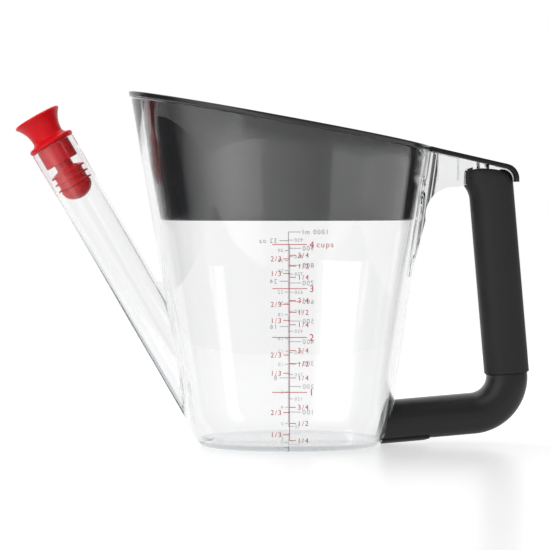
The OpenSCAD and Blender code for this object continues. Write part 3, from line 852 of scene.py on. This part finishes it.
basket_z, basket_wall, basket_floor = 114.5 * mm, 1.8 * mm, 2 * mm
basket_round, hollow_round = 1.2 * mm, 2.2 * mm
skirt_half_x, skirt_half_y, skirt_middle = 64.447 * mm, 53.849 * mm, -0.873 * mm
skirt_lean_x, skirt_lean_y, skirt_shift = 0.166, 0.122, -0.023
skirt_in, band_over, band_edge, seat_edge = 3.1 * mm, 0.8 * mm, 0.6 * mm, 0.35 * mm
hole_r, hole_pitch, hole_margin, hole_sides = 1.7 * mm, 8.5 * mm, 7.5 * mm, 24


def skirt_section(z, inset=0.0):
    """Middle, half length and half depth of the strainer's wall at height z."""
    up = z - basket_z
    return (skirt_middle + skirt_shift * up, skirt_half_x + skirt_lean_x * up - inset,
            skirt_half_y + skirt_lean_y * up - inset)


def skirt_stack(name, foot, corner, inset):
    """The form of the strainer's wall, from a foot with round corners to above the rim."""
    turns = [math.radians(15 * i) for i in range(7)]
    levels = [(foot + corner * (1 - math.cos(t)),
               skirt_section(foot + corner * (1 - math.cos(t)), inset + corner * (1 - math.sin(t))))
              for t in turns]
    levels += [(z * mm, skirt_section(z * mm, inset)) for z in range(122, 200, 6)]
    return oval_stack(name, levels)


def rim_oval(inset, lift):
    """Middle, half length and half depth where the cup's wall meets the rim's slope."""
    height = rim_height + lift
    left = -(foot_half_x + spout_end_lean * height - inset) / (1 - rim_fall * spout_end_lean)
    right = (foot_half_x + handle_end_lean * height - inset) / (1 + rim_fall * handle_end_lean)
    middle = (left + right) / 2
    return middle, (right - left) / 2, foot_half_y + side_lean * height - inset


basket = skirt_stack("basket", basket_z, basket_round, 0)
cut_at_slope(basket, seat_gap)
with Editing(basket) as edit:
    edit.pick("EDGE", lambda e: len(e.link_faces) == 1)
    steps = [(skirt_in, seat_gap), (-band_over, seat_gap), (-band_over, lid_top)]
    for (inset_0, lift_0), (inset, lift) in zip(steps, steps[1:]):
        was, now = rim_oval(inset_0, lift_0), rim_oval(inset, lift)
        shift = now[0] - was[0]
        bpy.ops.mesh.extrude_region_move(
            TRANSFORM_OT_translate={"value": (shift, 0, lift - lift_0 - rim_fall * shift)})
        bpy.ops.transform.resize(value=(now[1] / was[1], now[2] / was[2], now[1] / was[1]),
                                 center_override=(now[0], 0, rim_at(now[0]) + lift))
basket_hollow = skirt_stack("basket_hollow", basket_z + basket_floor, hollow_round, basket_wall)
cut_at_slope(basket_hollow, lid_top)
close_rim(basket, basket_hollow, lid_top)
with Editing(basket) as edit:
    edit.pick("EDGE", lambda e: on_slope(lid_top)(e) and e.calc_face_angle() > corner_turn)
    bpy.ops.mesh.bevel(offset=band_edge, segments=4)
    edit.pick("EDGE", lambda e: on_slope(seat_gap)(e) and e.calc_face_angle() > corner_turn
              and e.calc_face_angle_signed() > 0)
    bpy.ops.mesh.bevel(offset=seat_edge, segments=3)
    edit.pick("FACE", lambda f: len(f.verts) == oval_steps)
    bpy.ops.mesh.inset(thickness=1 * mm)  # a narrow border keeps the floor's shading flat

middle, half_x, half_y = skirt_section(basket_z)


def in_floor(x, y):
    """Whether a hole at (x, y) leaves the floor's plain border whole."""
    end = half_x - hole_margin + (middle if x > 0 else -middle)
    return (abs(x) / end) ** plan_power + (abs(y) / (half_y - hole_margin)) ** plan_power <= 1


row_step, floor_top = hole_pitch * math.sin(math.pi / 3), basket_z + basket_floor
places = [((column + row % 2 / 2) * hole_pitch, row * row_step)
          for row in range(-8, 9) for column in range(-8, 9)]
drills = drum("drills", [(basket_z - 0.5 * mm, hole_r), (floor_top - 0.3 * mm, hole_r),
                         (floor_top + 0.1 * mm, hole_r + 0.4 * mm)], hole_sides)
with Editing(drills):
    at = (0, 0)
    for x, y in [place for place in places if in_floor(*place)]:
        bpy.ops.mesh.duplicate_move(TRANSFORM_OT_translate={"value": (x - at[0], y - at[1], 0)})
        at = (x, y)
    bpy.ops.mesh.select_all(action="DESELECT")
with Editing(drills) as edit:  # the first, which the others were copied from
    edit.pick("VERT", lambda v: v.index < 3 * hole_sides)
    bpy.ops.mesh.delete(type="VERT")
combine(basket, "DIFFERENCE", drills)

tab_x, tab_z, tab_r, tab_thick, tab_round = 108.5 * mm, 135 * mm, 8 * mm, 2.2 * mm, 7 * mm
tongue_w, root_x, root_flare, tongue_edge = 24 * mm, 78 * mm, 8 * mm, 1.0 * mm
tab_foot = tab_z - 1.2 * mm
tab_slope = math.degrees(math.atan(tongue_fall))
tongue_from = tongue_x - 3.5 * mm
tongue = across("tongue", [
    (tongue_from, rim_at(tongue_from) + seat_gap), (tongue_from, rim_at(tongue_from) + lid_top),
    (tongue_x, tongue_top(tongue_x)),
    *arc(tab_x, tab_z, tab_r, 90 - tab_slope, 0, 20),
    (tab_x + tab_r, tab_foot), (tab_x + tab_r - tab_thick, tab_foot),
    *arc(tab_x, tab_z, tab_r - tab_thick, 0, 90 - tab_slope, 20)], tongue_w + 2 * root_flare)
half_w, tip = tongue_w / 2, tab_x + tab_r + 1 * mm
plan = [(tongue_x - 10 * mm, half_w + 0.75 * root_flare),
        *arc(root_x, half_w + root_flare, root_flare, *flare_arc, 12),
        *arc(tip - tab_round, half_w - tab_round, tab_round, 90, 0, 16)]
plan += [(x, -y) for x, y in reversed(plan)]
combine(tongue, "INTERSECT", thicken(
    outline("tongue_plan", [(x, y, tab_z - 10 * mm) for x, y in plan]), (0, 0, 40 * mm)))
round_edges(tongue, tongue_edge, 5, 40, lambda p: p.x > tongue_x - 2.5 * mm)
combine(basket, "UNION", tongue)

gloss_black, pen, out = new_material("gloss_black")
flow = mottle(pen, 30.0, 2.0)
wave = uneven(pen, flow, 0.06, 0.6 * mm)
skin = pen.take("ShaderNodeBsdfPrincipled", values={
    "Base Color": flow.blend((0.017, 0.017, 0.019, 1), (0.024, 0.024, 0.026, 1)),
    "Roughness": 0.12 + flow * 0.08, "Normal": wave})
skin.into(out)
finish_piece(basket, "strainer_basket", gloss_black, "strainer_lid", "strainer", "strainer")


# ---- stopper ----
# Bright red silicone, pushed into the spout: a trumpet-shaped knob to pull it by, a flange on
# the tube's mouth, a plug, and a neck with three sealing fins.

red_silicone, pen, out = new_material("red_silicone")
cloud = mottle(pen, 260.0, 3.0)
rubber = pen.take("ShaderNodeBsdfPrincipled", values={
    "Base Color": cloud.blend((0.82, 0.003, 0.010, 1), (0.90, 0.005, 0.014, 1)),
    "Normal": uneven(pen, cloud, 0.15, 0.1 * mm), "Roughness": 0.34 + cloud * 0.08,
    "Specular IOR Level": 0.3, "Subsurface Weight": 0.08, "Subsurface Scale": 2 * mm})
rubber.into(out)
nodes["stopper"].data.materials[0] = red_silicone
